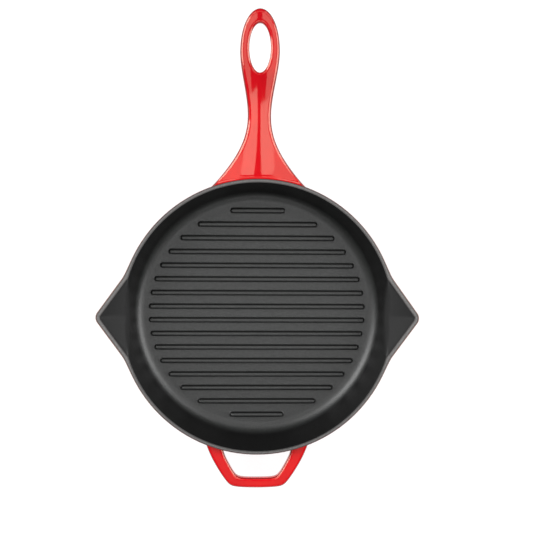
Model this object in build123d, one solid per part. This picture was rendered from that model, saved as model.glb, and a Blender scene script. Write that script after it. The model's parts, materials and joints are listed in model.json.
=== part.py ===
from build123d import *
import math
import os

# Round grill pan of enamelled cast iron, in millimetres.
# Origin: centre of the foot ring, on the surface that the pan stands on.
# +X points to one pouring spout, +Y along the long handle, +Z up.

# Bowl
rim_radius = 130.0
rim_height = 47.0
wall_thickness = 3.4
wall_draft = 13.5
floor_thickness = 5.0
inside_corner_radius = 12.0
outside_corner_radius = 15.0
base_recess = 1.0
foot_ring_margin = 3.1
foot_ring_width = 8.0
foot_ring_rounding = 0.6

# Coats of enamel, which stop at the bare rim and at the bare foot ring
enamel_thickness = 0.4

# Pouring spouts, whose length runs to the point where the flanks would meet
spout_length = 25.94
spout_width = 83.74
spout_tip_radius = 7.9
spout_wall_thickness = 4.6
spout_underside_slope = 30.0
spout_blend_radius = 9.0
spout_valley_slope = 19.0
spout_valley_radius = 9.0
spout_valley_blend_radius = 3.0
spout_lip_depth = 1.0
spout_overlap = 25.0

# Grill ridges
ridge_count = 16
ridge_height = 4.7
ridge_end_margin = 4.7
shortest_ridge_length = 47.6
ridge_top_radius = 1.8
ridge_draft = 8.0
ridge_foot_radius = 1.2
ridge_foot_step = 0.15

# Long handle, from its root inside the rim by way of spread, throat, neck and loop to the tip
handle_root_depth = 22.0
handle_root_cover = 0.5
handle_spread_distance = 2.0
handle_spread_width = 72.2
handle_throat_length = 16.7
handle_throat_width = 46.3
handle_neck_length = 38.3
handle_neck_width = 21.4
handle_loop_length = 59.5
handle_loop_width = 36.6
handle_tip_length = 37.5
handle_root_drop = 5.0
handle_rise = 18.0
handle_root_thickness = 20.0
handle_tip_thickness = 8.0
handle_crown_share = 0.11
handle_underside_crown = 0.7
handle_edge_rounding = 2.5
handle_root_fillet = 3.0
handle_section_count = 12
hole_tip_margin = 13.4
hole_length = 44.0
hole_width = 19.6
hole_bevel = 2.2
hole_under_rounding = 1.6

# Helper handle, from its root inside the rim by way of its mouth to its end
helper_length = 34.2
helper_root_depth = 20.0
helper_root_cover = 3.1
helper_mouth_distance = 1.0
helper_mouth_width = 90.4
helper_mouth_side = 13.6
helper_end_width = 50.6
helper_end_side = 4.8
helper_bar_depth = 10.8
helper_bar_bow = 1.8
helper_drop = 6.5
helper_thickness = 9.0
helper_outer_corner_radius = 6.0
helper_inner_corner_radius = 4.5
helper_edge_rounding = 2.4
helper_root_fillet = 2.0

# How far a cutting shape runs past the face that it cuts
overrun = 5.0

wall_lean = math.tan(math.radians(wall_draft))
wall_cosine = math.cos(math.radians(wall_draft))
floor_height = base_recess + floor_thickness
inner_rim_radius = rim_radius - wall_thickness
spout_apex = rim_radius + spout_length
flank_run = spout_apex - math.sqrt(rim_radius**2 - (spout_width / 2) ** 2)
flank_tangent = spout_width / 2 / flank_run
flank_sine = flank_tangent / math.hypot(1, flank_tangent)
spout_reach = spout_apex - spout_tip_radius * (1 / flank_sine - 1)
trough_apex = spout_apex - spout_wall_thickness / flank_sine
spout_root = inner_rim_radius - spout_overlap
underside_angle = math.radians(spout_underside_slope)
valley_angle = math.radians(spout_valley_slope)
handle_root_reach = rim_radius - handle_root_depth
handle_spread_reach = rim_radius + handle_spread_distance
handle_throat_reach = handle_spread_reach + handle_throat_length
handle_neck_reach = handle_throat_reach + handle_neck_length
handle_loop_reach = handle_neck_reach + handle_loop_length
handle_reach = handle_loop_reach + handle_tip_length
handle_root_height = rim_height - handle_root_drop
hole_reach = handle_reach - hole_tip_margin - hole_length / 2
helper_reach = rim_radius + helper_length
helper_root_reach = rim_radius - helper_root_depth
helper_mouth_reach = rim_radius + helper_mouth_distance
helper_bottom = rim_height - helper_drop - helper_thickness
standing = (Align.CENTER, Align.CENTER, Align.MIN)


def both_sides(solid):
    """A solid and its mirror image on the other side of the YZ plane."""
    return solid + mirror(solid, Plane.YZ)


def wall_radius(height, rim):
    """Radius of a wall face at a height, for its radius at the rim."""
    return rim - (rim_height - height) * wall_lean


def flat_radius(height, rim, corner_radius):
    """Radius of the flat that a wall's rounded bottom corner leaves at a height."""
    bend = math.radians(90 - wall_draft) / 2
    return wall_radius(height, rim) - corner_radius * math.tan(bend)


def root_half_width(bottom, reach, cover):
    """Half width of a handle's root whose corners lie under the wall's outer face."""
    return math.sqrt((wall_radius(bottom, rim_radius) - cover) ** 2 - reach**2)


def wall_solid(rim, bottom, corner_radius):
    """Turned solid with the slope of the wall and a rounded bottom corner."""
    corner = (wall_radius(bottom, rim), bottom)
    rim_corner = (rim, rim_height)
    section = make_face(Polyline((0, bottom), corner, rim_corner, (0, rim_height), close=True))
    section = fillet(section.vertices().sort_by_distance(corner)[0], corner_radius)
    return revolve(Plane.XZ * section, Axis.Z)


def blend_spouts(body, radius):
    """Round the edges where the two spouts leave the wall."""
    nearest = wall_radius(floor_height, inner_rim_radius)
    farthest = rim_radius + wall_thickness
    curved = (GeomType.ELLIPSE, GeomType.BSPLINE, GeomType.HYPERBOLA)
    chosen = []
    for edge in body.edges():
        middle = edge.center()
        reach = math.hypot(middle.X, middle.Y)
        on_wall = nearest < reach < farthest and abs(middle.X) > abs(middle.Y)
        if on_wall and edge.geom_type in curved and floor_height < middle.Z < rim_height:
            chosen.append(edge)
    return fillet(chosen, radius)


def spout_plan(apex, tip_radius):
    """Plan of one spout: an arrow head along +X with a blunt tip."""
    half_width = (apex - spout_root) * flank_tangent
    upper = (spout_root, half_width)
    lower = (spout_root, -half_width)
    arrow = make_face(Polyline(upper, (apex, 0), lower, close=True))
    return fillet(arrow.vertices().sort_by(Axis.X)[-1], tip_radius)


def spout_wedge(inset):
    """Outer form of one spout: its plan pushed down and inwards."""
    flank_share = 1 / math.hypot(1, flank_sine / math.tan(underside_angle))
    plan_inset = inset / flank_share
    plan = spout_plan(spout_apex - plan_inset / flank_sine, spout_tip_radius - plan_inset)
    length = (spout_reach - rim_radius + spout_overlap) / math.cos(underside_angle)
    downwards = Vector(-math.cos(underside_angle), 0, -math.sin(underside_angle))
    return extrude(Pos(0, 0, rim_height) * plan, length, dir=downwards)


def spout_trough(growth):
    """Hollow of one spout: its inner plan above a sloping, rounded valley."""
    tip_radius = spout_tip_radius - spout_wall_thickness + growth
    plan = spout_plan(trough_apex + growth / flank_sine, tip_radius)
    column = extrude(Pos(0, 0, floor_height) * plan, rim_height + overrun - floor_height)
    arm_slope = math.tan(valley_angle) / flank_tangent
    arm_span = (trough_apex - spout_root) * flank_tangent
    arm_rise = arm_span * arm_slope
    section = make_face(
        Polyline(
            (-arm_span, rim_height),
            (-arm_span, arm_rise),
            (0, 0),
            (arm_span, arm_rise),
            (arm_span, rim_height),
            close=True,
        )
    )
    section = fillet(section.vertices().sort_by(Axis.Y)[0], spout_valley_radius)
    run = trough_apex - spout_root
    start_height = rim_height - spout_lip_depth - growth - run * math.tan(valley_angle)
    start = Plane(origin=(spout_root, 0, start_height), x_dir=(0, 1, 0), z_dir=(1, 0, 0))
    upwards = Vector(math.cos(valley_angle), 0, math.sin(valley_angle))
    valley = extrude(start * section, (run + overrun) / math.cos(valley_angle), dir=upwards)
    return column & valley


def bowl_outside(inset):
    """Outer form of bowl and spouts, drawn in by inset."""
    rim = rim_radius - inset / wall_cosine
    body = wall_solid(rim, base_recess + inset, outside_corner_radius - inset)
    return blend_spouts(body + both_sides(spout_wedge(inset)), spout_blend_radius + inset)


def bowl_inside(growth):
    """Hollow of bowl and spouts, grown by growth."""
    rim = inner_rim_radius + growth / wall_cosine
    body = wall_solid(rim, floor_height - growth, inside_corner_radius + growth)
    return blend_spouts(body + both_sides(spout_trough(growth)), spout_valley_blend_radius - growth)


def make_foot_ring():
    """Low ring under the floor that the pan stands on."""
    height = base_recess + enamel_thickness
    radius = flat_radius(base_recess, rim_radius, outside_corner_radius) - foot_ring_margin
    ring = Cylinder(radius, height, align=standing)
    ring -= Cylinder(radius - foot_ring_width, height, align=standing)
    return fillet(ring.edges().group_by(Axis.Z)[0], foot_ring_rounding)


def plan_point(width, reach):
    """Point on the right side of a handle's outline."""
    return (width / 2, reach)


def handle_root_half():
    """Half width of the long handle's root."""
    bottom = handle_root_height - handle_root_thickness
    return root_half_width(bottom, handle_root_reach, handle_root_cover)


def handle_sides():
    """Right side of the long handle's outline: the flare to the root and the loop's side."""
    root = Vector(handle_root_half(), handle_root_reach)
    spread = Vector(*plan_point(handle_spread_width, handle_spread_reach))
    throat = plan_point(handle_throat_width, handle_throat_reach)
    neck = plan_point(handle_neck_width, handle_neck_reach)
    loop = plan_point(handle_loop_width, handle_loop_reach)
    flare = Spline(root, spread, throat, neck, tangents=[spread - root, (0, 1)])
    side = Spline(neck, loop, tangents=[(0, 1), (0, 1)])
    return flare, side


def handle_plan():
    """Outline of the long handle, seen from above."""
    flare, side = handle_sides()
    middle = (0, handle_loop_reach)
    tip = EllipticalCenterArc(middle, handle_loop_width / 2, handle_tip_length, arc_size=90)
    back = Line((0, handle_root_reach), (handle_root_half(), handle_root_reach))
    right = Curve() + [back, flare, side, tip]
    return make_face(right + mirror(right, Plane.YZ))


def handle_half_width(reach):
    """Half the long handle's width at a reach, level from the loop on."""
    if reach <= handle_root_reach:
        return handle_root_half()
    if reach >= handle_loop_reach:
        return handle_loop_width / 2
    across = Axis((0, reach, 0), (1, 0, 0))
    for curve in handle_sides():
        crossing = curve.intersect(across)
        if crossing:
            return crossing[0].X
    return handle_neck_width / 2


def handle_section(reach):
    """Cross section of the long handle at a reach, wider than the outline."""
    along = min(max((reach - handle_root_reach) / (handle_reach - handle_root_reach), 0), 1)
    top = handle_root_height + handle_rise * along**2 * (3 - 2 * along)
    extra_thickness = (handle_root_thickness - handle_tip_thickness) * (1 - along) ** 3
    bottom = top - handle_tip_thickness - extra_thickness
    half = handle_half_width(reach)
    span = half + overrun
    top_side = top - handle_crown_share * half * (span / half) ** 2
    bottom_side = bottom + handle_underside_crown * (span / half) ** 2
    outline = Curve() + [
        ThreePointArc((span, top_side), (0, top), (-span, top_side)),
        Line((-span, top_side), (-span, bottom_side)),
        ThreePointArc((-span, bottom_side), (0, bottom), (span, bottom_side)),
        Line((span, bottom_side), (span, top_side)),
    ]
    across = Plane(origin=(0, reach, 0), x_dir=(1, 0, 0), z_dir=(0, -1, 0))
    return across * make_face(outline)


def seat_on_bowl(loop, outside, radius):
    """Flare a handle's root into the bowl's outer face, and end it there."""
    joined = loop + outside
    seam = []
    for edge in joined.edges():
        middle = edge.position_at(0.5)
        reach = math.hypot(middle.X, middle.Y)
        on_wall = abs(reach - wall_radius(middle.Z, rim_radius)) < enamel_thickness
        under_rim = floor_height < middle.Z < rim_height
        if on_wall and under_rim and abs(middle.Y) > abs(middle.X):
            seam.append(edge)
    return fillet(seam, radius) - outside


def hole_rings(body):
    """Edges that run all round the hanging hole, from the lowest up."""
    closed = [edge for edge in body.edges() if edge.is_closed and edge.length > hole_length]
    return ShapeList(closed).sort_by(Axis.Z)


def make_long_handle(outside):
    """Crowned handle with a bevelled hanging hole and a flared root."""
    start = handle_root_reach - overrun
    step = (handle_reach + overrun - start) / (handle_section_count - 1)
    bar = loft([handle_section(start + step * index) for index in range(handle_section_count)])
    height = handle_root_height + handle_rise + overrun
    body = extrude(handle_plan(), height) & bar
    outline = [edge for edge in body.edges() if edge.geom_type == GeomType.BSPLINE]
    outline = [edge for edge in outline if edge.center().Y > handle_root_reach + overrun]
    body = fillet(outline, handle_edge_rounding)
    body -= extrude(Pos(0, hole_reach, 0) * Ellipse(hole_width / 2, hole_length / 2), height)
    body = chamfer(hole_rings(body)[-1], hole_bevel)
    body = fillet(hole_rings(body)[0], hole_under_rounding)
    return seat_on_bowl(body, outside, handle_root_fillet)


def make_helper_handle(outside):
    """Flat loop under the rim, opposite the long handle."""
    root_half = root_half_width(helper_bottom, helper_root_reach, helper_root_cover)
    root = (root_half, -helper_root_reach)
    mouth = plan_point(helper_mouth_width, -helper_mouth_reach)
    end = plan_point(helper_end_width, helper_bar_bow - helper_reach)
    side = ThreePointArc(root, mouth, end)
    bar = ThreePointArc(end, (0, -helper_reach), (-end[0], end[1]))
    back = Line((-root[0], root[1]), root)
    plan = make_face(Curve() + [side, bar, mirror(side, Plane.YZ), back])
    plan = fillet(plan.vertices().group_by(Axis.Y)[0], helper_outer_corner_radius)
    inner_end = (end[0] - helper_end_side, helper_bar_depth - helper_reach)
    inner_mouth = (mouth[0] - helper_mouth_side, mouth[1])
    slope = (inner_mouth[0] - inner_end[0]) / (inner_mouth[1] - inner_end[1])
    inner_root = (inner_mouth[0] + (root[1] - inner_mouth[1]) * slope, root[1])
    other_end = (-inner_end[0], inner_end[1])
    other_root = (-inner_root[0], inner_root[1])
    opening = make_face(Polyline(inner_root, inner_end, other_end, other_root, close=True))
    opening = fillet(opening.vertices().group_by(Axis.Y)[0], helper_inner_corner_radius)
    loop = extrude(Pos(0, 0, helper_bottom) * (plan - opening), helper_thickness)
    rims = [edge for edge in loop.edges().filter_by(Plane.XY) if edge.center().Y < root[1]]
    loop = fillet(rims, helper_edge_rounding)
    return seat_on_bowl(loop, outside, helper_root_fillet)


def ridge_half_profile():
    """Right half of a ridge's cross section, standing on the floor."""
    draft = math.radians(ridge_draft)
    foot_top = ridge_foot_step + ridge_foot_radius * (1 - math.sin(draft))
    shoulder = ridge_height - ridge_top_radius * (1 - math.sin(draft))
    shoulder_half = ridge_top_radius * math.cos(draft)
    side_half = shoulder_half + (shoulder - foot_top) * math.tan(draft)
    foot_half = side_half + ridge_foot_radius * math.cos(draft)
    bend = math.radians(45) - draft / 2
    foot_middle = (
        foot_half - ridge_foot_radius * math.sin(bend),
        ridge_foot_step + ridge_foot_radius * (1 - math.cos(bend)),
    )
    outline = Curve() + [
        Line((0, 0), (foot_half, 0)),
        Line((foot_half, 0), (foot_half, ridge_foot_step)),
        ThreePointArc((foot_half, ridge_foot_step), foot_middle, (side_half, foot_top)),
        Line((side_half, foot_top), (shoulder_half, shoulder)),
        RadiusArc((shoulder_half, shoulder), (0, ridge_height), ridge_top_radius),
        Line((0, ridge_height), (0, 0)),
    ]
    return make_face(outline)


def make_ridge(place):
    """One ridge across the floor, with round ends on the ridge field's circle."""
    half_length = math.sqrt(ridge_field**2 - place**2)
    half = ridge_half_profile()
    across = Plane(origin=(-half_length, place, floor_height), x_dir=(0, 1, 0), z_dir=(1, 0, 0))
    bar = extrude(across * (half + mirror(half, Plane.YZ)), half_length * 2)
    pole = Axis((half_length, place, floor_height), (0, 0, 1))
    end_section = Plane(origin=pole.position, x_dir=(0, -1, 0), z_dir=(-1, 0, 0))
    return bar + both_sides(revolve(end_section * half, pole, 180))


def write_part(name, solid):
    """Write one piece of the pan to its own file."""
    solids = solid.solids()
    print(name, len(solids), round(solid.volume))
    piece = solids[0] if len(solids) == 1 else solid
    export_step(piece, os.path.join("parts", name + ".step"))


os.makedirs("parts", exist_ok=True)

finished_outside = bowl_outside(0)
finished_inside = bowl_inside(0)
iron_outside = bowl_outside(enamel_thickness)
iron_inside = bowl_inside(enamel_thickness)
foot_ring = make_foot_ring()
below_rim = Cylinder(spout_reach, rim_height, align=standing)

write_part("bowl_casting", iron_outside - iron_inside + foot_ring)
outer_enamel = finished_outside - iron_outside - foot_ring
coats = outer_enamel.solids().sort_by(SortBy.VOLUME)
write_part("outer_enamel", coats[-1])
write_part("base_enamel", coats[0])
write_part("inner_enamel", (iron_inside - finished_inside) & below_rim)
write_part("long_handle", make_long_handle(finished_outside))
write_part("helper_handle", make_helper_handle(finished_outside))
ridge_field = flat_radius(floor_height, inner_rim_radius, inside_corner_radius) - ridge_end_margin
last_place = math.sqrt(ridge_field**2 - (shortest_ridge_length / 2) ** 2)
ridge_pitch = last_place * 2 / (ridge_count - 1)
for index in range(ridge_count):
    write_part(f"grill_ridge_{index + 1:02d}", make_ridge(last_place - index * ridge_pitch))
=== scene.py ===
import json
import math
import bpy
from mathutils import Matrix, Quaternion, Vector

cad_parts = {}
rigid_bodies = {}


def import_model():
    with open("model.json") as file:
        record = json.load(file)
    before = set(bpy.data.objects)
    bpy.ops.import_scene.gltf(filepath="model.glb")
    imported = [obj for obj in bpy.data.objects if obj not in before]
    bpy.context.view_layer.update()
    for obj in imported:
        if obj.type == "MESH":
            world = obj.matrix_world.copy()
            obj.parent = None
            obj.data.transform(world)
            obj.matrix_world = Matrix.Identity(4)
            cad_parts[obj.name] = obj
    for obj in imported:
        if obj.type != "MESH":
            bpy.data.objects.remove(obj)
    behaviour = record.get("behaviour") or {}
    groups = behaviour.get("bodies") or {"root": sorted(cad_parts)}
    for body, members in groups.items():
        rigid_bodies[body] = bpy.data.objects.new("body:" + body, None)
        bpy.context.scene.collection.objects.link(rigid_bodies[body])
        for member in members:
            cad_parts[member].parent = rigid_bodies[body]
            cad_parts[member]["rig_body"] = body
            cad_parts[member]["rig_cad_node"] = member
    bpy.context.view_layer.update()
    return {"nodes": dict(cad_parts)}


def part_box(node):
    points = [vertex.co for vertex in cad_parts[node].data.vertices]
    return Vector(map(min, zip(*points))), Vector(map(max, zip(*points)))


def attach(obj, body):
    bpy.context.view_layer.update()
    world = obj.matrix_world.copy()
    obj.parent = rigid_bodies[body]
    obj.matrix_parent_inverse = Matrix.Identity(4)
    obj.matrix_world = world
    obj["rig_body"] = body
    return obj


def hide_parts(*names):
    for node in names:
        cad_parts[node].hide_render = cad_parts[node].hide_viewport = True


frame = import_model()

nodes = frame["nodes"]
scene = bpy.context.scene
scene.view_settings.view_transform = "Standard"

mm = 0.001      # all lengths are in metres
mergeDistance = 0.01 * mm


# small helpers for the hand work

def rest():
    # back to object mode with nothing selected
    if bpy.context.object and bpy.context.object.mode == "EDIT":
        bpy.ops.object.mode_set(mode="OBJECT")
    bpy.ops.object.select_all(action="DESELECT")


def newest(name):
    piece = bpy.context.object
    piece.name = name
    piece.data.name = name
    return piece


def pick(piece, chosen, kind="VERT"):
    # selects these and nothing else, and stays in edit mode
    bpy.context.view_layer.objects.active = piece
    bpy.ops.object.mode_set(mode="EDIT")
    bpy.ops.mesh.select_mode(type=kind)
    bpy.ops.mesh.select_all(action="DESELECT")
    bpy.ops.object.mode_set(mode="OBJECT")
    mesh = piece.data
    parts = {"VERT": mesh.vertices, "EDGE": mesh.edges, "FACE": mesh.polygons}[kind]
    for index in chosen:
        parts[index].select = True
    bpy.ops.object.mode_set(mode="EDIT")


def selectedPoints(piece):
    bpy.ops.object.mode_set(mode="OBJECT")
    found = [point.index for point in piece.data.vertices if point.select]
    bpy.ops.object.mode_set(mode="EDIT")
    return found


def pointsWhere(piece, test):
    return [point.index for point in piece.data.vertices if test(point.co)]


def edgesWhere(piece, test):
    # edges with both ends where the test holds
    inside = set(pointsWhere(piece, test))
    return [edge.index for edge in piece.data.edges if inside.issuperset(edge.vertices)]


def dress(piece, material, standsFor):
    # material and body of a finished piece; the CAD parts it stands for are hidden
    rest()
    piece.data.materials.clear()
    piece.data.materials.append(material)
    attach(piece, "root")
    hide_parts(*standsFor)


# materials

def newMaterial(name):
    material = bpy.data.materials.new(name)
    material.use_nodes = True
    return material, material.node_tree, material.node_tree.nodes["Principled BSDF"]


def addNode(tree, kind, **settings):
    node = tree.nodes.new(kind)
    for key, value in settings.items():
        if key in node.inputs:
            node.inputs[key].default_value = value
        else:
            setattr(node, key, value)
    return node


def noiseOn(tree, settings):
    # settings: scale, detail and roughness of the noise
    scale, detail, roughness = settings
    place = addNode(tree, "ShaderNodeTexCoord")
    noise = addNode(tree, "ShaderNodeTexNoise", Scale=scale, Detail=detail, Roughness=roughness)
    tree.links.new(place.outputs["Object"], noise.inputs["Vector"])
    return noise.outputs["Fac"]


def ramp(tree, source, low, high, lowAt=0.3, highAt=0.7):
    node = addNode(tree, "ShaderNodeValToRGB")
    for index, (tone, place) in enumerate(((low, lowAt), (high, highAt))):
        stop = node.color_ramp.elements[index]
        stop.position = place
        stop.color = (*tone, 1) if isinstance(tone, tuple) else (tone, tone, tone, 1)
    tree.links.new(source, node.inputs["Fac"])
    return node.outputs["Color"]


def addBump(tree, shader, height, distance):
    bump = addNode(tree, "ShaderNodeBump", Distance=distance, Strength=1.0)
    tree.links.new(height, bump.inputs["Height"])
    tree.links.new(bump.outputs["Normal"], shader.inputs["Normal"])


def spread(tree, source, zeroAt, oneAt):
    # 0 to 1 as the source goes from zeroAt to oneAt
    node = addNode(tree, "ShaderNodeMapRange")
    node.inputs["From Min"].default_value = zeroAt
    node.inputs["From Max"].default_value = oneAt
    tree.links.new(source, node.inputs["Value"])
    return node.outputs["Result"]


def blendTones(tree, share, first, second):
    # inputs 6 and 7 and output 2 are the colour ones of this node
    mix = addNode(tree, "ShaderNodeMix", data_type="RGBA")
    tree.links.new(share, mix.inputs[0])
    for socket, tone in ((mix.inputs[6], first), (mix.inputs[7], second)):
        if isinstance(tone, tuple):
            socket.default_value = (*tone, 1)
        else:
            tree.links.new(tone, socket)
    return mix.outputs[2]


def combine(tree, operation, first, second):
    node = addNode(tree, "ShaderNodeMath", operation=operation)
    tree.links.new(first, node.inputs[0])
    tree.links.new(second, node.inputs[1])
    return node.outputs[0]


def mixInto(tree, share, first, second, output):
    mix = addNode(tree, "ShaderNodeMixShader")
    for socket, source in zip(mix.inputs, (share, first.outputs[0], second.outputs[0])):
        tree.links.new(source, socket)
    tree.links.new(mix.outputs[0], tree.nodes[output].inputs["Surface"])


def sizeOf(tree, source):
    node = addNode(tree, "ShaderNodeMath", operation="ABSOLUTE")
    tree.links.new(source, node.inputs[0])
    return node.outputs[0]


def partOf(tree, source, axis):
    parts = addNode(tree, "ShaderNodeSeparateXYZ")
    tree.links.new(source, parts.inputs[0])
    return parts.outputs[axis]


def placeAlong(tree, axis):
    return partOf(tree, addNode(tree, "ShaderNodeTexCoord").outputs["Object"], axis)


def levelness(tree):
    # 0 on an upright face, 1 on a level one
    facing = addNode(tree, "ShaderNodeNewGeometry")
    return sizeOf(tree, partOf(tree, facing.outputs["Normal"], "Z"))


redEnamelLook = {
    "deep": (0.375, 0.0018, 0.0054),
    "bright": (0.44, 0.0032, 0.0064),
    "farDeep": (0.305, 0.0009, 0.0043),
    "farBright": (0.36, 0.0016, 0.0057),
    "farFrom": 0.180,
    "farTo": 0.208,
    # dark red painted on the handles' rounded edges as shade
    "edgeShadeTone": (0.10, 0.003, 0.004),
    "underRim": (0.075, 0.020, 0.018),
    "cloud": (38.0, 2.0, 0.5),
    "ripple": (90.0, 1.0, 0.5),
    "rippleDepth": 0.00003,
    "roughness": 0.06,
    "coat": 0.2,
    "coatRoughness": 0.03,
    "sheenTone": (1.0, 0.90, 0.66, 1),
    "edgeFrom": 0.62,
    "edgeTo": 0.84,
    "sideFrom": 0.26,
    "sideTo": 0.38,
    "rimFrom": 0.0452,
    "rimTo": 0.0466,
}


def paintedEdgeShadeMask(tree):
    # painted shade: 1 on the rounded edges, picked by how far the face tilts, 0 on the flats and
    # the sides; the glass is also drawn thin at these edges
    look = redEnamelLook
    level = levelness(tree)
    offFlat = spread(tree, level, look["edgeTo"], look["edgeFrom"])
    offSide = spread(tree, level, look["sideFrom"], look["sideTo"])
    return combine(tree, "MULTIPLY", offFlat, offSide)


def rimTone(tree):
    # 1 in the last millimetre below the bare rim, where the red ends over the dark ground coat
    return spread(tree, placeAlong(tree, "Z"), redEnamelLook["rimFrom"], redEnamelLook["rimTo"])


def makeRedEnamel(name, tone, darkTone):
    look = redEnamelLook
    material, tree, shader = newMaterial(name)
    cloud = noiseOn(tree, look["cloud"])
    colour = ramp(tree, cloud, look["deep"], look["bright"])
    farTone = ramp(tree, cloud, look["farDeep"], look["farBright"])
    far = spread(tree, placeAlong(tree, "Y"), look["farFrom"], look["farTo"])
    colour = blendTones(tree, far, colour, farTone)
    colour = blendTones(tree, tone(tree), colour, look[darkTone])
    tree.links.new(colour, shader.inputs["Base Color"])
    addBump(tree, shader, noiseOn(tree, look["ripple"]), look["rippleDepth"])
    shader.inputs["Roughness"].default_value = look["roughness"]
    shader.inputs["Coat Weight"].default_value = look["coat"]
    shader.inputs["Coat Roughness"].default_value = look["coatRoughness"]
    shader.inputs["Specular Tint"].default_value = look["sheenTone"]
    return material


blackEnamelLook = {
    "dark": (0.0054, 0.0058, 0.0055),
    "light": (0.0117, 0.0125, 0.0119),
    # painted shade on steep faces, such as the ridges' flanks and the walls
    "steepShade": (0.0020, 0.0020, 0.0020),
    "steepFrom": 0.30,
    "steepTo": 0.66,
    "troughFrom": 0.1205,
    "troughTo": 0.1235,
    "troughRough": (0.86, 0.86, 0.86),
    # painted shade for the spouts
    "trough": (0.0040, 0.0040, 0.0040),
    "speckle": (620.0, 3.0, 0.6),
    "speckleStops": (0.4, 0.62),
    "grain": (1500.0, 4.0, 0.65),
    "grainDepth": 0.00009,
    "roughLow": 0.36,
    "roughHigh": 0.45,
}


def makeBlackEnamel():
    look = blackEnamelLook
    material, tree, shader = newMaterial("blackMattEnamel")
    speckle = noiseOn(tree, look["speckle"])
    colour = ramp(tree, speckle, look["dark"], look["light"], *look["speckleStops"])
    # steep faces are painted darker, as shade
    steepShade = spread(tree, levelness(tree), look["steepTo"], look["steepFrom"])
    colour = blendTones(tree, steepShade, colour, look["steepShade"])
    # darker and duller out in the spouts: the darker colour is painted shade, the dullness is a
    # rougher surface
    trough = spread(tree, sizeOf(tree, placeAlong(tree, "X")), look["troughFrom"], look["troughTo"])
    colour = blendTones(tree, trough, colour, look["trough"])
    tree.links.new(colour, shader.inputs["Base Color"])
    rough = ramp(tree, speckle, look["roughHigh"], look["roughLow"])
    rough = blendTones(tree, trough, rough, look["troughRough"])
    tree.links.new(rough, shader.inputs["Roughness"])
    addBump(tree, shader, noiseOn(tree, look["grain"]), look["grainDepth"])
    return material


bareIronLook = {
    "dark": (0.066, 0.064, 0.063),
    "light": (0.135, 0.130, 0.127),
    # painted shade along the rim's edges
    "outline": (0.030, 0.026, 0.025),
    "grain": (900.0, 4.0, 0.6),
    "grainDepth": 0.00006,
    "roughLow": 0.42,
    "roughHigh": 0.58,
    "metallic": 0.35,
}


def makeBareIron():
    look = bareIronLook
    material, tree, shader = newMaterial("bareCastIron")
    grain = noiseOn(tree, look["grain"])
    colour = ramp(tree, grain, look["dark"], look["light"])
    # the rim's edges get painted shade, faded inward over the set-in band
    outline = addNode(tree, "ShaderNodeAttribute", attribute_name="rimEdgeShade")
    colour = blendTones(tree, outline.outputs["Fac"], colour, look["outline"])
    tree.links.new(colour, shader.inputs["Base Color"])
    rough = ramp(tree, grain, look["roughLow"], look["roughHigh"])
    tree.links.new(rough, shader.inputs["Roughness"])
    addBump(tree, shader, grain, look["grainDepth"])
    shader.inputs["Metallic"].default_value = look["metallic"]
    return material


blackEnamel = makeBlackEnamel()
# the handles' rounded edges get painted shade
redHandleEnamel = makeRedEnamel("redGlossEnamel", paintedEdgeShadeMask, "edgeShadeTone")
redBowlEnamel = makeRedEnamel("redGlossEnamelToRim", rimTone, "underRim")
bareIron = makeBareIron()
print("materials made")


# bowl: copies of the casting and its coats, joined up, smoothed, and with the spouts drawn in

bowl = {
    "coats": {
        "bowlCasting": ("bowl_casting", bareIron, "cast_iron"),
        "outerCoat": ("outer_enamel", redBowlEnamel, "red_enamel"),
        "baseCoat": ("base_enamel", redBowlEnamel, "red_enamel"),
        "innerCoat": ("inner_enamel", blackEnamel, "black_enamel"),
    },
    "smoothBelow": 32,      # degrees between faces
    "spoutFrom": 0.122,
    "spoutShare": 0.928,
    "rimAbove": 0.0469,
    "rimLevel": 0.99,
    "outlineWidth": 0.0013,
}


def makeCoat(name, node, material):
    rest()
    nodes[node].select_set(True)
    bpy.context.view_layer.objects.active = nodes[node]
    bpy.ops.object.duplicate()
    piece = newest(name)
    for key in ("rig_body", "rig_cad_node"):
        if key in piece:
            del piece[key]
    bpy.ops.object.mode_set(mode="EDIT")
    bpy.ops.mesh.select_all(action="SELECT")
    bpy.ops.mesh.remove_doubles(threshold=mergeDistance)
    bpy.ops.object.mode_set(mode="OBJECT")
    start = bowl["spoutFrom"]
    for side in (-1, 1):      # the spouts reach a little less far than the solids'
        outside = pointsWhere(piece, lambda co: co.x * side > start)
        if outside:
            pick(piece, outside)
            bpy.ops.transform.resize(
                value=(bowl["spoutShare"], 1, 1), center_override=(side * start, 0, 0)
            )
            bpy.ops.object.mode_set(mode="OBJECT")
    bpy.ops.object.shade_smooth_by_angle(angle=math.radians(bowl["smoothBelow"]))
    dress(piece, material, [node])


def markRim(casting):
    # a narrow band is set in along both edges of the rim; its outer points carry the darker tone,
    # painted shade along the rim's edges
    rest()
    faces = [
        face.index for face in casting.data.polygons
        if face.normal.z > bowl["rimLevel"] and face.center.z > bowl["rimAbove"]
    ]
    pick(casting, faces, "FACE")
    bpy.ops.mesh.inset(thickness=bowl["outlineWidth"], depth=0, use_even_offset=True)
    inside = set(selectedPoints(casting))
    bpy.ops.object.mode_set(mode="OBJECT")
    share = casting.data.attributes.new("rimEdgeShade", "FLOAT", "POINT")
    for point in casting.data.vertices:
        if point.co.z > bowl["rimAbove"] and point.index not in inside:
            share.data[point.index].value = 1.0


for name, (node, material, slot) in bowl["coats"].items():
    makeCoat(name, node, material)
markRim(bpy.data.objects["bowlCasting"])
print("bowl made")


# flat sheets of quads, half of a handle each, whose rows are pushed to the handle's outline

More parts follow.
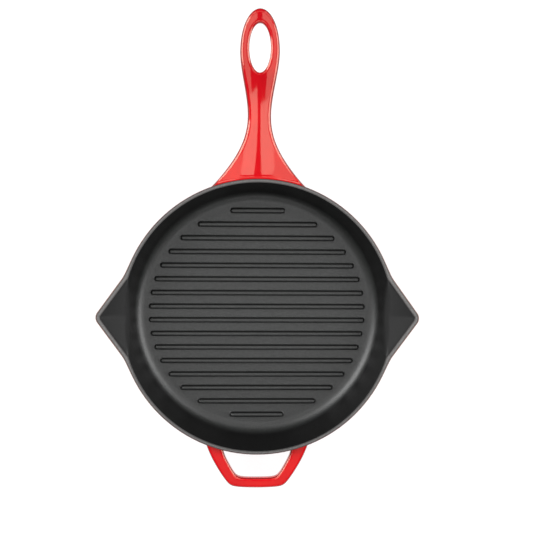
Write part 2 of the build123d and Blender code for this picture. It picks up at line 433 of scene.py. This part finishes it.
def newSheet(name, columns, rows):
    # rows come from the lowest up, points along a row from the middle out
    rest()
    bpy.ops.mesh.primitive_grid_add(x_subdivisions=columns, y_subdivisions=rows, size=1.0)
    sheet = newest(name)
    points = sheet.data.vertices
    order = sorted(range(len(points)), key=lambda i: (round(points[i].co.y, 4), points[i].co.x))
    width = columns + 1
    return sheet, [order[start:start + width] for start in range(0, len(order), width)]


def carry(piece, places):
    # grabs single points and moves each to its place
    for index, place in places.items():
        pick(piece, [index])
        bpy.ops.transform.translate(value=Vector(place) - piece.data.vertices[index].co)
    bpy.ops.object.mode_set(mode="OBJECT")


def mirrorAcross(piece):
    half = piece.modifiers.new("otherHalf", "MIRROR")
    half.use_clip = True
    half.merge_threshold = 2 * mergeDistance
    bpy.ops.object.modifier_apply(modifier="otherHalf")


def thicken(piece, undersideOf):
    # pushes the whole sheet down to a closed body; undersideOf gives a top point's place below
    depth = 0.004
    bpy.ops.object.mode_set(mode="EDIT")
    bpy.ops.mesh.select_mode(type="FACE")
    bpy.ops.mesh.select_all(action="SELECT")
    bpy.ops.mesh.extrude_region_move(TRANSFORM_OT_translate={"value": (0, 0, -depth)})
    lower = selectedPoints(piece)
    bpy.ops.object.mode_set(mode="OBJECT")
    points = piece.data.vertices
    above = {index: Vector(points[index].co) + Vector((0, 0, depth)) for index in lower}
    carry(piece, {index: undersideOf(place) for index, place in above.items()})
    bpy.ops.object.mode_set(mode="EDIT")
    bpy.ops.mesh.select_all(action="SELECT")
    bpy.ops.mesh.normals_make_consistent(inside=False)
    bpy.ops.object.mode_set(mode="OBJECT")
    return set(lower)


def markEdges(piece, lower, kindOf):
    # notes which sharp edges get which rounding; kindOf names an edge or leaves it out
    wallLimit = 0.4      # the normal of a wall rises less than this
    points = piece.data.vertices
    facesAt = {}
    for face in piece.data.polygons:
        for key in face.edge_keys:
            facesAt.setdefault(key, []).append(face)
    for edge in piece.data.edges:
        walls = [face for face in facesAt[edge.key] if abs(face.normal.z) < wallLimit]
        if len(walls) != 1:
            continue
        first, second = (points[index].co for index in edge.vertices)
        kind = kindOf(first, second, edge.vertices[0] in lower, walls[0].normal)
        if kind:
            if kind not in piece.data.attributes:
                piece.data.attributes.new(kind, "BOOLEAN", "EDGE")
            piece.data.attributes[kind].data[edge.index].value = True


def roundMarked(piece, roundings):
    # roundings gives the width and the number of segments for each kind of edge
    for kind, (width, segments) in roundings.items():
        marks = piece.data.attributes[kind].data
        pick(piece, [index for index, mark in enumerate(marks) if mark.value], "EDGE")
        bpy.ops.mesh.bevel(
            offset=width, offset_type="OFFSET", segments=segments, profile=0.5, clamp_overlap=False
        )
        bpy.ops.object.mode_set(mode="OBJECT")


def smoothOut(piece, levels):
    soft = piece.modifiers.new("softForm", "SUBSURF")
    soft.levels = levels
    soft.render_levels = levels
    bpy.ops.object.modifier_apply(modifier="softForm")
    bpy.ops.object.shade_smooth()


def ease(value):
    value = min(max(value, 0.0), 1.0)
    return value * value * (3 - 2 * value)


longHandle = {
    # outline: reach from the pan's middle, half width, slope of the side there
    "stations": [
        (0.108, 0.0604, -1.02),
        (0.132, 0.0361, -0.94),
        (0.1487, 0.02315, -0.65),
        (0.187, 0.0107, 0.0),
        (0.2465, 0.0183, 0.0),
    ],
    "tipLength": 0.0375,
    "holeReach": 0.2486,
    "holeHalf": (0.0098, 0.022),
    "holeRingWidth": 0.0022,
    "holeRingDrop": 0.0011,
    "holeRows": 16,
    "columns": 5,
    "edgeMargin": 0.0041,
    "loopFoot": 0.228,
    "barRows": (
        0.2205, 0.2145, 0.207, 0.198, 0.189, 0.180, 0.171, 0.163, 0.155, 0.148,
        0.142, 0.138, 0.1358, 0.1346, 0.1337, 0.1326, 0.1315, 0.1304, 0.1292, 0.1267,
    ),
    "bendFrom": 0.185,
    "bendTo": 0.136,
    "rootReach": 0.108,
    "rootHeight": 0.042,
    "rise": 0.018,
    "rootThickness": 0.020,
    "tipThickness": 0.008,
    "crownShare": 0.11,
    "underCrown": 0.0007,
    "rootHollow": 0.0040,
    "hollowFrom": 0.1337,
    "hollowLength": 0.0049,
    "rootEnd": 0.1275,
    "underLean": 0.0052,
    "underNarrowing": 0.02,
    "leanFrom": 0.142,
    "leanLength": 0.012,
    "roundings": {
        "outlineTop": (0.0029, 4),
        "outlineUnder": (0.0020, 3),
        "holeTop": (0.0009, 2),
        "holeUnder": (0.0012, 2),
    },
    "softness": 2,
}


def longHalf(reach):
    # half width of the outline at a reach, smooth through the stations
    stations = longHandle["stations"]
    if reach >= stations[-1][0]:
        return stations[-1][1]
    for (r0, h0, s0), (r1, h1, s1) in zip(stations, stations[1:]):
        if reach <= r1:
            break
    span = r1 - r0
    u = (reach - r0) / span
    ends = (2 * u**3 - 3 * u**2 + 1) * h0 + (3 * u**2 - 2 * u**3) * h1
    return ends + span * ((u**3 - 2 * u**2 + u) * s0 + (u**3 - u**2) * s1)


def longShare(reach):
    look = longHandle
    tip = look["stations"][-1][0] + look["tipLength"]
    return (reach - look["rootReach"]) / (tip - look["rootReach"])


def longTop(x, reach):
    # height of the crowned top, which climbs from the bowl to the tip
    look = longHandle
    u = longShare(reach)
    height = look["rootHeight"] + look["rise"] * u**2 * (3 - 2 * u)
    return height - look["crownShare"] * x**2 / longHalf(reach)


def longThickness(reach):
    look = longHandle
    extra = look["rootThickness"] - look["tipThickness"]
    return look["tipThickness"] + extra * (1 - longShare(reach)) ** 3


def hollowRise(distance):
    # how far the top climbs in the hollow where it runs into the wall
    look = longHandle
    radius = look["rootHollow"]
    depth = min(max(look["hollowFrom"] - distance, 0.0) / look["hollowLength"], 1.0) * radius
    return radius - math.sqrt(max(radius**2 - depth**2, 0.0))


def longRow(centre):
    # outer end of a row across the bar; rows near the bowl bend to its round
    look = longHandle
    bend = ease((look["bendFrom"] - centre) / (look["bendFrom"] - look["bendTo"]))
    outer = longHalf(centre)
    for _ in range(12):      # settles on the outline
        drop = centre - math.sqrt(centre**2 - outer**2)
        outer = longHalf(centre - bend * drop)
    return outer, bend


def longUnderside(point):
    # near the bowl it leans in, as the wall does
    look = longHandle
    near = ease((look["leanFrom"] - math.hypot(point.x, point.y)) / look["leanLength"])
    x = point.x * (1 - near * look["underNarrowing"])
    y = point.y - look["underLean"] * near
    rise = look["underCrown"] * (point.x / longHalf(point.y)) ** 2
    return x, y, longTop(0, y) - longThickness(y) + rise


def nearRing(point, halfWidth, halfLength, slack=0.03):
    reach = longHandle["holeReach"]
    return abs((point.x / halfWidth) ** 2 + ((point.y - reach) / halfLength) ** 2 - 1) < slack


def makeLongHandle():
    look = longHandle
    holeRows = look["holeRows"]
    holeWidth, holeLength = look["holeHalf"]
    ringWidth, ringLength = holeWidth + look["holeRingWidth"], holeLength + look["holeRingWidth"]
    loopReach, loopHalf, _ = look["stations"][-1]
    sheet, rows = newSheet("longHandle", look["columns"] - 1, holeRows + len(look["barRows"]))

    def shares(width):
        # even steps to a line beside the edge, then the edge itself
        inside = 1 - look["edgeMargin"] / width
        steps = look["columns"] - 2
        return [inside * step / steps for step in range(steps + 1)] + [1.0]

    places = {}
    for number, row in enumerate(reversed(rows)):      # from the tip to the root
        if number <= holeRows:
            turn = math.pi * number / holeRows
            across, along = math.sin(turn), math.cos(turn)
            inner = Vector((ringWidth * across, look["holeReach"] + ringLength * along))
            if turn < math.pi / 2:
                outer = Vector((loopHalf * across, loopReach + look["tipLength"] * along))
            else:
                reach = loopReach - (loopReach - look["loopFoot"]) * (turn * 2 / math.pi - 1)
                outer = Vector((longHalf(reach), reach))
            for share, index in zip(shares((outer - inner).length), row):
                x, y = inner.lerp(outer, share)
                places[index] = (x, y, longTop(x, y))
        else:
            centre = look["barRows"][number - holeRows - 1]
            outer, bend = longRow(centre)
            for share, index in zip(shares(outer), row):
                x = outer * share
                y = centre - bend * (centre - math.sqrt(centre**2 - x**2))
                places[index] = (x, y, longTop(x, y) + hollowRise(centre))
    carry(sheet, places)
    mirrorAcross(sheet)

    # slanted ring round the hanging hole
    pick(sheet, edgesWhere(sheet, lambda co: nearRing(co, ringWidth, ringLength)), "EDGE")
    bpy.ops.mesh.extrude_edges_move(TRANSFORM_OT_translate={"value": (0, 0, -look["holeRingDrop"])})
    bpy.ops.transform.resize(
        value=(holeWidth / ringWidth, holeLength / ringLength, 1),
        center_override=(0, look["holeReach"], 0),
    )
    bpy.ops.object.mode_set(mode="OBJECT")
    lower = thicken(sheet, longUnderside)

    def kindOf(first, second, isLower, wallNormal):
        if nearRing(first, holeWidth, holeLength) and nearRing(second, holeWidth, holeLength):
            return "holeUnder" if isLower else "holeTop"
        reach = max(math.hypot(end.x, end.y) for end in (first, second))
        facesBowl = wallNormal.y < -0.9
        if facesBowl or reach < look["rootEnd"] and not isLower:
            return None
        return "outlineUnder" if isLower else "outlineTop"

    markEdges(sheet, lower, kindOf)
    roundMarked(sheet, look["roundings"])
    smoothOut(sheet, look["softness"])
    dress(sheet, redHandleEnamel, ["long_handle"])


makeLongHandle()
print("long handle made")


helperHandle = {
    # outline of its right half in mm, from the middle of the bar to the root in the wall
    "outer": (
        (0, -164.2), (12.0, -163.9), (20.4, -163.3), (25.2, -162.0), (28.6, -158.9),
        (34.4, -150.7), (39.3, -142.6), (43.5, -134.8), (46.6, -127.6), (48.6, -122.4),
        (49.6, -119.8), (50.2, -118.2), (50.8, -116.9), (52.0, -114.4),
    ),
    "inner": (
        (0, -154.7), (8.6, -154.6), (14.6, -154.3), (19.2, -152.9), (22.3, -149.0),
        (25.8, -142.8), (29.0, -136.8), (31.0, -132.2), (31.9, -128.8), (32.3, -127.0),
        (32.6, -125.9), (32.9, -124.8), (33.3, -123.7), (34.6, -121.4),
    ),
    "top": 0.0405,
    "thickness": 0.009,
    "rootHollow": 0.0020,
    "rootClimb": 0.5,
    "wallRadius": 0.1278,
    "rootEnd": 0.1272,
    "underLean": 0.0021,
    "leanFrom": 0.134,
    "leanLength": 0.006,
    "roundings": {"outlineTop": (0.0023, 4), "outlineUnder": (0.0020, 3)},
    "softness": 2,
}


def makeHelperHandle():
    look = helperHandle
    lines = list(zip(look["outer"], look["inner"]))
    sheet, rows = newSheet("helperHandle", len(lines) - 1, 2)
    hollow = look["rootHollow"]

    def flareAt(place):
        # how far the root spreads where it meets the wall
        near = min(max(place.length - look["wallRadius"], 0.0), hollow)
        return hollow - math.sqrt(hollow**2 - (hollow - near) ** 2)

    places = {}
    for column, (outer, inner) in enumerate(lines):
        outer, inner = Vector(outer) * mm, Vector(inner) * mm
        across = (outer - inner).normalized()
        middle = outer.lerp(inner, 0.5)
        # only the inner side spreads in plan, all three climb
        for row, place, share in zip(rows, (outer, middle, inner), (0, 0, 1)):
            flare = flareAt(place)
            x, y = place - across * share * flare
            places[row[column]] = (x if column else 0.0, y, look["top"] + flare * look["rootClimb"])
    carry(sheet, places)
    mirrorAcross(sheet)

    def underside(point):
        distance = math.hypot(point.x, point.y)
        lean = look["underLean"] * ease((look["leanFrom"] - distance) / look["leanLength"])
        flare = point.z - look["top"]
        return point.x, point.y + lean, look["top"] - look["thickness"] - flare

    lower = thicken(sheet, underside)

    def kindOf(first, second, isLower, wallNormal):
        # the two ends, hidden in the wall, stay sharp
        reach = max(math.hypot(end.x, end.y) for end in (first, second))
        isAcross = abs(first.x - second.x) > 4 * mm and abs(first.y - second.y) < 8 * mm
        if reach < look["rootEnd"] and isAcross:
            return None
        return "outlineUnder" if isLower else "outlineTop"

    markEdges(sheet, lower, kindOf)
    roundMarked(sheet, look["roundings"])
    smoothOut(sheet, look["softness"])
    dress(sheet, redHandleEnamel, ["helper_handle"])


makeHelperHandle()
print("helper handle made")


ridgeForm = {
    # rings of one ridge from the floor up: half width and height above the floor, in mm
    "rings": (
        (3.25, 0.0), (3.22, 0.13), (2.72, 0.26), (2.32, 0.62), (2.12, 1.18), (2.02, 1.9),
        (1.94, 2.7), (1.86, 3.45), (1.74, 3.98), (1.45, 4.38), (0.95, 4.62), (0.0, 4.70),
    ),
    "points": 24,
    "softness": 1,
}


def ridgePlace(node):
    # middle, half length to the axes of the round ends, and floor height of a ridge's solid
    low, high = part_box(node)
    foot = ridgeForm["rings"][0][0] * mm
    return (low[1] + high[1]) / 2, (high[0] - low[0]) / 2 - foot, low[2]


def makeFirstRidge(node):
    middle, halfLength, floorHeight = ridgePlace(node)
    rings = [(width * mm, height * mm) for width, height in ridgeForm["rings"]]
    rest()
    bpy.ops.mesh.primitive_circle_add(
        vertices=ridgeForm["points"], radius=rings[0][0], fill_type="NGON",
        location=(0, middle, floorHeight), rotation=(0, 0, math.pi / ridgeForm["points"]),
    )
    ridge = newest("grillRidge01")
    bpy.ops.object.transform_apply(location=True, rotation=True, scale=True)
    for side in (-1, 1):      # the two halves move apart to the ends
        pick(ridge, pointsWhere(ridge, lambda co: co.x * side > 0))
        bpy.ops.transform.translate(value=(side * halfLength, 0, 0))
    pick(ridge, [0], "FACE")
    for (widthBefore, heightBefore), (width, height) in zip(rings, rings[1:]):
        up = (0, 0, height - heightBefore)
        bpy.ops.mesh.extrude_region_move(TRANSFORM_OT_translate={"value": up})
        ring = selectedPoints(ridge)
        for side in (-1, 1):      # each end is drawn in about its own axis
            points = ridge.data.vertices
            pick(ridge, [index for index in ring if points[index].co.x * side > 0])
            share = max(width / widthBefore, 0.0001)      # the last ring closes to a line
            bpy.ops.transform.resize(
                value=(share, share, 1), center_override=(side * halfLength, middle, 0)
            )
        pick(ridge, ring)
        bpy.ops.mesh.select_mode(type="FACE")
    bpy.ops.mesh.select_all(action="SELECT")
    bpy.ops.mesh.remove_doubles(threshold=mergeDistance)
    bpy.ops.mesh.normals_make_consistent(inside=False)
    bpy.ops.object.mode_set(mode="OBJECT")
    return ridge


def makeRidges():
    names = sorted(name for name in nodes if name.startswith("grill_ridge"))
    first = makeFirstRidge(names[0])
    middle, halfLength, _ = ridgePlace(names[0])
    ridges = [first]
    for name in names[1:]:
        ownMiddle, ownHalfLength, _ = ridgePlace(name)
        rest()
        first.select_set(True)
        bpy.context.view_layer.objects.active = first
        bpy.ops.object.duplicate()
        ridge = newest("grillRidge" + name[-2:])
        for side in (-1, 1):
            pick(ridge, pointsWhere(ridge, lambda co: co.x * side > 0))
            longer = side * (ownHalfLength - halfLength)
            bpy.ops.transform.translate(value=(longer, ownMiddle - middle, 0))
        ridges.append(ridge)
    for name, ridge in zip(names, ridges):
        rest()
        bpy.context.view_layer.objects.active = ridge
        smoothOut(ridge, ridgeForm["softness"])
        dress(ridge, blackEnamel, [name])


makeRidges()
print("ridges made")


# floor, world and lamps

floorLook = {"size": 4.0, "drop": 0.0003, "grey": 0.9, "roughness": 0.9, "shadowShare": 0.2}


def makeFloor():
    look = floorLook
    rest()
    bpy.ops.mesh.primitive_plane_add(size=look["size"], location=(0, 0, -look["drop"]))
    floor = newest("studioFloor")
    material, tree, shader = newMaterial("paleFloor")
    shader.inputs["Base Color"].default_value = (look["grey"],) * 3 + (1,)
    shader.inputs["Roughness"].default_value = look["roughness"]
    # mostly white where it is seen, with a share of its shaded colour for the shadow
    white = addNode(tree, "ShaderNodeEmission", Strength=1.0)
    path = addNode(tree, "ShaderNodeLightPath")
    seen = combine(tree, "MAXIMUM", path.outputs["Is Camera Ray"], path.outputs["Is Glossy Ray"])
    seen = combine(tree, "MAXIMUM", seen, path.outputs["Is Transmission Ray"])
    share = addNode(tree, "ShaderNodeMath", operation="MULTIPLY")
    share.inputs[1].default_value = 1 - look["shadowShare"]
    tree.links.new(seen, share.inputs[0])
    mixInto(tree, share.outputs[0], shader, white, "Material Output")
    floor.data.materials.append(material)


worldLook = {"grey": 0.10}


def makeWorld():
    world = bpy.data.worlds.new("studio")
    world.use_nodes = True
    scene.world = world
    tree = world.node_tree
    air = tree.nodes["Background"]
    air.inputs["Color"].default_value = (worldLook["grey"],) * 3 + (1,)
    seen = addNode(tree, "ShaderNodeBackground", Color=(1, 1, 1, 1), Strength=1.0)
    path = addNode(tree, "ShaderNodeLightPath")
    mixInto(tree, path.outputs["Is Camera Ray"], air, seen, "World Output")


# each lamp: place, direction it faces, turn about that, width, length, brightness of its face
down = (0, 0, -1)
lamps = {
    "panelRight": ((0.1975, -0.096, 0.75), down, 0, 0.305, 0.288, 3.3),
    "panelLeft": ((-0.1641, -0.0924, 0.75), down, 9, 0.301, 0.300, 3.3),
    "baseRight": ((0.2625, 0.135, 0.75), down, 0, 0.215, 0.17, 1.8),
    "baseLeft": ((-0.250, 0.140, 0.75), down, 0, 0.170, 0.17, 1.8),
    "loopRight": ((0.290, 0.240, 0.75), down, 0, 0.18, 0.36, 2.0),
    "loopLeft": ((-0.250, 0.255, 0.75), down, 0, 0.18, 0.33, 2.0),
    "tipRight": ((0.125, 0.36, 0.75), down, 0, 0.15, 0.14, 2.2),
    "tipLeft": ((-0.0975, 0.36, 0.75), down, 0, 0.125, 0.14, 2.2),
    "sideLeft": ((-1.16, 0.48, 0.80), (1.16, -0.48, -0.80), 0, 1.0, 1.0, 9.4),
    "sideRight": ((1.22, 0.14, 0.80), (-1.22, -0.14, -0.80), 0, 1.0, 1.0, 7.2),
    "lowLeft": ((-1.35, 0.55, 0.38), (1.35, -0.55, -0.38), 0, 1.4, 0.45, 2.4),
    "lowRight": ((1.35, 0.55, 0.38), (-1.35, -0.55, -0.38), 0, 1.4, 0.45, 2.4),
    "helperSheen": ((0.02, -0.37, 0.75), down, 0, 0.30, 0.14, 0.45),
    "behind": ((0.0, 0.85, 1.15), (0, -0.85, -1.15), 0, 1.0, 0.35, 1.0),
    "behindLeft": ((-0.72, 0.96, 1.05), (0.72, -0.96, -1.05), 0, 0.62, 0.50, 3.4),
    "behindRight": ((0.72, 0.96, 1.05), (-0.72, -0.96, -1.05), 0, 0.62, 0.50, 3.4),
    "front": ((0.0, -1.15, 0.75), (0, 1.15, -0.75), 0, 1.5, 0.50, 1.6),
}


def makeLamp(name, place, facing, turn, width, length, brightness):
    light = bpy.data.lights.new(name, "AREA")
    light.shape = "RECTANGLE"
    light.size = width
    light.size_y = length
    light.energy = brightness * math.pi * width * length
    lamp = bpy.data.objects.new(name, light)
    scene.collection.objects.link(lamp)
    lamp.location = place
    aim = Vector(facing).to_track_quat("-Z", "Y")
    lamp.rotation_euler = (aim @ Quaternion((0, 0, 1), math.radians(turn))).to_euler()
    lamp.visible_camera = False


makeFloor()
makeWorld()
for name, settings in lamps.items():
    makeLamp(name, *settings)
print("floor, world and lamps made")


# camera

cameraSetup = {
    "place": (-0.025123, 0.115629, 0.993971),
    "turn": (-4.26545, -2.13832, 0.41197),      # degrees
    "lens": 67.87,
    "sensorWidth": 36.0,
    "clipStart": 0.01,
}

cameraTurn = [math.radians(angle) for angle in cameraSetup["turn"]]
bpy.ops.object.camera_add(location=cameraSetup["place"], rotation=cameraTurn)
camera = bpy.context.object
camera.name = "photographersCamera"
camera.data.lens = cameraSetup["lens"]
camera.data.sensor_width = cameraSetup["sensorWidth"]
camera.data.clip_start = cameraSetup["clipStart"]
scene.camera = camera
print("camera made")
